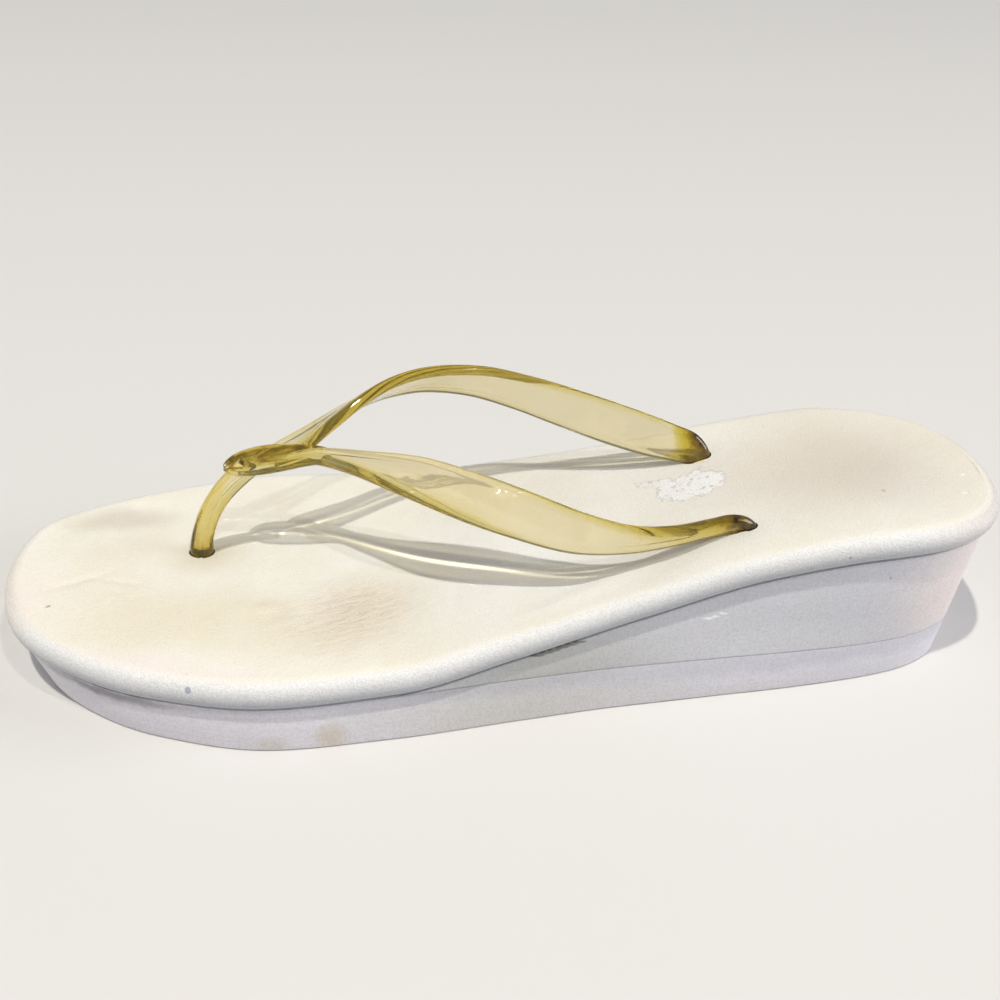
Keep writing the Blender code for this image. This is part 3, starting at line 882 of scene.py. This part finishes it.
def coated_leather():
    """White leather under a coat of polyurethane, embossed with a fine grain.

    It gives the eye a dull white that foot grime yellows, with a satin shine on the rim, which has painted
    light on its shoulder and painted shade low on its side.
    """
    made, tree = new_material("embossed_coated_leather")
    where = add(tree, "TexCoord").outputs["Object"]
    facing = facing_up(tree)
    on_top = add(tree, "MapRange", {"Value": facing, "From Min": 0.86, "From Max": 0.995})
    # Painted light and shade on the rim: lighter towards its shoulder, darker low on its side.
    painted_light_share = add(tree, "MapRange", {"Value": facing, "From Min": -0.25, "From Max": 0.8})
    cloudy = {"Vector": where, "Scale": per(GRIME_CLOUD), "Detail": 5.0, "Roughness": 0.6}
    clouds = add(tree, "TexNoise", cloudy)
    grime = add(tree, "MapRange", {"Value": clouds, "From Min": 0.35, "From Max": 0.65})
    coat = {0: grime, 6: linear(LEATHER_CLEAN), 7: linear(LEATHER_WORN)}
    top = add(tree, "Mix", coat, data_type="RGBA")
    top = marked(tree, warped(tree, where, *STAIN_EDGE), top, STAINS)
    rim_light_and_shade = {0: painted_light_share, 6: linear(LEATHER_PAINTED_SHADE), 7: linear(LEATHER_PAINTED_LIGHT)}
    rim = add(tree, "Mix", rim_light_and_shade, data_type="RGBA")
    rim = marked(tree, where, rim, RIM_MARKS)
    colour = add(tree, "Mix", {0: on_top, 6: rim, 7: top}, data_type="RGBA")

    # Fine creases under the ball of the foot, with dirt in them.
    ball = blot(tree, warped(tree, where, *DIRT_EDGE), BALL_DIRT)
    turned = add(tree, "Mapping", {"Vector": where, "Rotation": (0.0, 0.0, CREASE_TURN)})
    drawn = add(tree, "Mapping", {"Vector": turned, "Scale": (CREASE_STRETCH, 1.0, 1.0)})
    creases = add(tree, "TexNoise", {"Vector": drawn, "Scale": per(CREASE), "Detail": 4.0, "Roughness": 0.6})
    dirt = add(tree, "MapRange", {"Value": creases, "From Min": 0.36, "From Max": 0.7, "To Min": 0.25})
    dirt = add(tree, "Math", {0: dirt, 1: ball}, operation="MULTIPLY")
    colour = add(tree, "Mix", {0: dirt, 6: colour, 7: linear(BALL_DIRT.colour)}, data_type="RGBA")

    # White flakes where the coat has lifted, with painted shade between them.
    near = warped(tree, where, *SCUFF_EDGE)
    spots = {0: blot(tree, near, SCUFF), 1: blot(tree, near, SCUFF_TAIL)}
    worn_off = add(tree, "Math", spots, operation="MAXIMUM")
    gaps = {"Vector": where, "Scale": per(FLAKE_GROUP), "Detail": 6.0, "Roughness": 0.7}
    ragged = add(tree, "TexNoise", gaps)
    worn_off = add(tree, "Math", {0: ragged, 1: FLAKE_SPREAD, 2: worn_off}, operation="MULTIPLY_ADD")
    worn_off = add(tree, "MapRange", {"Value": worn_off, "From Min": 0.98, "From Max": 1.03})
    curled = add(tree, "TexNoise", {"Vector": where, "Scale": per(FLAKE), "Detail": 5.0, "Roughness": 0.75})
    # Low between the flakes, the colour is painted shade.
    raised = add(tree, "MapRange", {"Value": curled, "From Min": 0.34, "From Max": 0.46})
    flakes = add(tree, "Mix", {0: raised, 6: linear(SCUFF_SHADE), 7: linear(SCUFF.colour)}, data_type="RGBA")
    colour = add(tree, "Mix", {0: worn_off, 6: colour, 7: flakes}, data_type="RGBA")
    colour = marked(tree, warped(tree, where, *FLECK_EDGE), colour, FLECKS)
    # Painted light on the walls of the holes.
    colour = marked(tree, where, colour, HOLE_WALLS_PAINTED_LIGHT)

    # The embossed grain with a little dirt in it, most on the rim, where the cover isn't rubbed smooth.
    pebbled = warped(tree, where, *GRAIN_EDGE)
    cells = add(tree, "TexVoronoi", {"Vector": pebbled, "Scale": per(GRAIN)}, feature="F1")
    fine = add(tree, "TexNoise", {"Vector": where, "Scale": per(FINE_GRAIN), "Detail": 4.0, "Roughness": 0.7})
    grain = add(tree, "Math", {0: cells.outputs["Distance"], 1: fine}, operation="ADD")
    pits = add(tree, "MapRange", {"Value": grain, "From Min": 0.6, "From Max": 1.25})
    held = add(tree, "MapRange", {"Value": on_top, "To Min": PITS_ON_RIM, "To Max": PITS_ON_TOP})
    pits = add(tree, "Math", {0: pits, 1: held}, operation="MULTIPLY")
    soiled = {0: pits, 6: colour, 7: linear(LEATHER_PIT)}
    colour = add(tree, "Mix", soiled, data_type="RGBA", blend_type="MULTIPLY")
    bump = add(tree, "Bump", {"Height": grain, "Strength": 0.8, "Distance": GRAIN_DEPTH * MM}, invert=True)

    # The creases, the slack of the cover over its padding, and the flakes' relief.
    pressed = add(tree, "Math", {0: creases, 1: ball}, operation="MULTIPLY")
    relief = {"Height": pressed, "Strength": 1.0, "Distance": CREASE_DEPTH * MM, "Normal": bump}
    bump = add(tree, "Bump", relief, invert=True)
    slack = add(tree, "TexNoise", {"Vector": where, "Scale": per(SLACK), "Detail": 3.0})
    bump = add(tree, "Bump", {"Height": slack, "Strength": 0.4, "Distance": SLACK_DEPTH * MM, "Normal": bump})
    fluff = add(tree, "Math", {0: worn_off, 1: curled}, operation="MULTIPLY")
    bump = add(tree, "Bump", {"Height": fluff, "Strength": 0.7, "Distance": FLAKE_DEPTH * MM, "Normal": bump})
    rough = add(tree, "MapRange", {"Value": clouds, "To Min": 0.46, "To Max": 0.6})
    coat = {"Base Color": colour, "Roughness": rough, "IOR": 1.5, "Specular IOR Level": 0.4, "Normal": bump}
    add(tree, "OutputMaterial", {"Surface": add(tree, "BsdfPrincipled", coat)})
    return made


def tread(tree, where):
    """Low zigzag ribs, only where a face looks down."""
    place = add(tree, "SeparateXYZ", {0: where})
    bent = add(tree, "Math", {0: place.outputs["Y"], 1: TREAD_TURN * MM}, operation="PINGPONG")
    along = add(tree, "Math", {0: place.outputs["X"], 1: bent}, operation="ADD")
    turns = add(tree, "Math", {0: along, 1: math.tau * per(TREAD)}, operation="MULTIPLY")
    wave = add(tree, "Math", {0: turns}, operation="SINE")
    flank = {"Value": wave, "From Min": -0.4, "From Max": 0.4}
    ribs = add(tree, "MapRange", flank, interpolation_type="SMOOTHSTEP")
    under = add(tree, "MapRange", {"Value": facing_up(tree), "From Min": -0.9, "From Max": -0.98})
    return add(tree, "Math", {0: ribs, 1: under}, operation="MULTIPLY")


def wedge_nicks():
    """The dark line at the wedge's joint with the platform, and the painted shade of the sliver missing from
    its upper edge.
    """
    sliver_shade = [SLIVER_PAINTED_SHADE._replace(x=place, z=underside(place) + SLIVER_PAINTED_SHADE.z) for place in SLIVER_PLACES]
    return (*sliver_shade, JOINT_LINE)


def cut_foam(name, colour, marks, nicks=(), treaded=False):
    """EVA foam, sawn to its shape and sanded: matt, with fine lines along the cut and a faint pore."""
    made, tree = new_material(name)
    where = add(tree, "TexCoord").outputs["Object"]
    drawn = add(tree, "Mapping", {"Vector": where, "Scale": (SAW_STRETCH, SAW_STRETCH, 1.0)})
    lines = add(tree, "TexNoise", {"Vector": drawn, "Scale": per(SAW_LINE), "Detail": 5.0, "Roughness": 0.7})
    clouds = add(tree, "TexNoise", {"Vector": where, "Scale": per(WORN_CLOUD), "Detail": 5.0})
    pores = add(tree, "TexNoise", {"Vector": where, "Scale": per(PORE), "Detail": 3.0})
    shade = add(tree, "MapRange", {"Value": lines, "From Min": 0.3, "From Max": 0.7, "To Max": 0.35})
    tint = add(tree, "Mix", {0: shade, 6: linear(colour), 7: linear(FOAM_LINE)}, data_type="RGBA")
    worn = add(tree, "MapRange", {"Value": clouds, "From Min": 0.45, "From Max": 0.75, "To Max": 0.5})
    tint = add(tree, "Mix", {0: worn, 6: tint, 7: linear(FOAM_WORN)}, data_type="RGBA")
    tint = marked(tree, warped(tree, where, *WORN_EDGE), tint, marks)
    if nicks:
        tint = marked(tree, warped(tree, where, *NICK_EDGE), tint, nicks)
    speck = add(tree, "MapRange", {"Value": pores, "From Min": 0.4, "From Max": 0.75, "To Max": 0.4})
    specked = {0: speck, 6: tint, 7: linear(FOAM_LINE)}
    tint = add(tree, "Mix", specked, data_type="RGBA", blend_type="MULTIPLY")
    bump = add(tree, "Bump", {"Height": pores, "Strength": 0.6, "Distance": PORE_DEPTH * MM})
    bump = add(tree, "Bump", {"Height": lines, "Strength": 0.3, "Distance": SAW_DEPTH * MM, "Normal": bump})
    if treaded:
        bump = add(tree, "Bump", {"Height": tread(tree, where), "Distance": TREAD_DEPTH * MM, "Normal": bump})
    foam = {"Base Color": tint, "Roughness": 0.62, "IOR": 1.45, "Specular IOR Level": 0.35, "Normal": bump}
    add(tree, "OutputMaterial", {"Surface": add(tree, "BsdfPrincipled", foam)})
    return made


def clear_plastic():
    """Soft PVC, injection moulded and clear, yellowed with age.

    It gives the eye a pale gold where it is thin, and olive where light runs far in it, both painted light in
    its colour. Its dark ends and the knot's hollow are painted shade.
    """
    made, tree = new_material("moulded_clear_pvc")
    where = add(tree, "TexCoord").outputs["Object"]
    flow = add(tree, "TexNoise", {"Vector": where, "Scale": per(FLOW), "Detail": 2.0})
    bump = add(tree, "Bump", {"Height": flow, "Strength": 0.3, "Distance": FLOW_DEPTH * MM})
    gold = add(tree, "Attribute", attribute_name="gold").outputs["Fac"]
    streaks = add(tree, "TexNoise", {"Vector": where, "Scale": per(STREAK), "Detail": 3.0})
    streaks = add(tree, "MapRange", {"Value": streaks, "To Min": -STREAK_GOLD, "To Max": STREAK_GOLD})
    held = add(tree, "MapRange", {"Value": gold, "From Max": 0.2})
    gold = add(tree, "Math", {0: streaks, 1: held, 2: gold}, operation="MULTIPLY_ADD")
    tint = add(tree, "ValToRGB", {0: gold})
    set_stops(tint.color_ramp, PVC_GOLD)
    deeper = {"Value": gold, "From Min": 0.72, "To Min": PVC_CLARITY, "To Max": PVC_CLARITY_DEEP}
    clarity = add(tree, "MapRange", deeper)
    plastic = {"Base Color": tint, "Transmission Weight": clarity, "Normal": bump}
    gloss = add(tree, "BsdfPrincipled", {**plastic, "Roughness": 0.03, "IOR": 1.5})

    # A lamp's light passes as through a lens, and only a shadow asks for it.
    beside = add(tree, "Attribute", attribute_name="across").outputs["Fac"]
    beside = add(tree, "MapRange", {"Value": beside, "From Min": -1.0})
    lens = add(tree, "ValToRGB", {0: beside})
    set_stops(lens.color_ramp, LENS)
    passed = add(tree, "VectorMath", {0: lens, "Scale": LENS_GAIN}, operation="SCALE")
    shadow = add(tree, "BsdfTransparent", {"Color": passed})
    is_shadow = add(tree, "LightPath").outputs["Is Shadow Ray"]
    either = add(tree, "MixShader", {0: is_shadow, 1: gloss, 2: shadow})
    yellowing = add(tree, "VolumeAbsorption", {"Color": linear(PVC_TINT), "Density": PVC_DENSITY})
    add(tree, "OutputMaterial", {"Surface": either, "Volume": yellowing})
    return made


def build_floor():
    """A plain floor, rolled with matt paint, which gives the eye a pale even ground."""
    mesh = bmesh.new()
    bmesh.ops.create_grid(mesh, x_segments=1, y_segments=1, size=FLOOR_REACH)
    data = bpy.data.meshes.new("floor")
    mesh.to_mesh(data)
    mesh.free()
    floor = bpy.data.objects.new("floor", data)
    bpy.context.scene.collection.objects.link(floor)
    made, tree = new_material("painted_floor")
    paint = add(tree, "BsdfPrincipled", {"Base Color": linear(FLOOR_PAINT), "Roughness": 0.7})
    add(tree, "OutputMaterial", {"Surface": paint})
    data.materials.append(made)


def build_lamp(lamp):
    data = bpy.data.lights.new(lamp.name, "AREA")
    data.shape = lamp.shape
    data.size = lamp.size
    data.energy = lamp.watts
    data.color = linear(lamp.colour)[:3]
    made = bpy.data.objects.new(lamp.name, data)
    aim = Vector((lamp.x, lamp.y, lamp.z)).normalized()
    made.location = aim * LAMP_DISTANCE
    made.rotation_mode = "QUATERNION"
    made.rotation_quaternion = aim.to_track_quat("Z", "Y")
    made.visible_transmission = False  # the strap's shadow colour stands for its light already
    bpy.context.scene.collection.objects.link(made)


def build_world():
    """A pale room: light from above, and a darker band low down that shows along the clear strap's edges."""
    world = bpy.data.worlds.new("studio")
    world.use_nodes = True
    tree = world.node_tree
    tree.nodes.clear()
    height = add(tree, "SeparateXYZ", {0: add(tree, "TexCoord").outputs["Generated"]}).outputs["Z"]
    room = add(tree, "ValToRGB", {0: height})
    set_stops(room.color_ramp, ROOM)
    light = add(tree, "Background", {"Color": room, "Strength": ROOM_LIGHT})
    add(tree, "OutputWorld", {"Surface": light})
    bpy.context.scene.world = world


def build_camera():
    yaw, pitch, roll = (math.radians(turn) for turn in (CAMERA_YAW, CAMERA_PITCH, CAMERA_ROLL))
    forward = Vector((math.sin(yaw) * math.cos(pitch), math.cos(yaw) * math.cos(pitch), -math.sin(pitch)))
    right = Vector((math.cos(yaw), -math.sin(yaw), 0.0))
    up = right.cross(forward)
    rolled_right = right * math.cos(roll) + up * math.sin(roll)
    rolled_up = up * math.cos(roll) - right * math.sin(roll)
    data = bpy.data.cameras.new("camera")
    data.lens = CAMERA_LENS
    data.sensor_width = CAMERA_SENSOR
    data.clip_start = CAMERA_NEAREST
    made = bpy.data.objects.new("camera", data)
    turn = Matrix((rolled_right, rolled_up, -forward)).transposed().to_4x4()
    made.matrix_world = Matrix.Translation(Vector(CAMERA_PLACE) * MM) @ turn
    bpy.context.scene.collection.objects.link(made)
    bpy.context.scene.camera = made


build_camera()
build_floor()
platform_foam = cut_foam("cut_foam_platform", FOAM_PLATFORM, PLATFORM_MARKS, treaded=True)
dress(platform_block(), "platform_sole", platform_foam)
wedge_foam = cut_foam("cut_foam_wedge", FOAM_WEDGE, WEDGE_MARKS, nicks=wedge_nicks())
dress(wedge_block(), "heel_wedge", wedge_foam)
cover = footbed_cover()
dress(cover, "footbed", coated_leather())
dress(clear_strap(), "thong_strap", clear_plastic())

for lamp in LAMPS:
    build_lamp(lamp)
build_world()
bpy.context.scene.view_settings.view_transform = "Standard"
# Light turns many times inside clear plastic. What the strap gathers on the cover is in its shadow's colours.
light_paths = bpy.context.scene.cycles
light_paths.max_bounces = MOST_BOUNCES
light_paths.transmission_bounces = PLASTIC_BOUNCES
light_paths.glossy_bounces = PLASTIC_BOUNCES
light_paths.caustics_refractive = False
light_paths.caustics_reflective = False
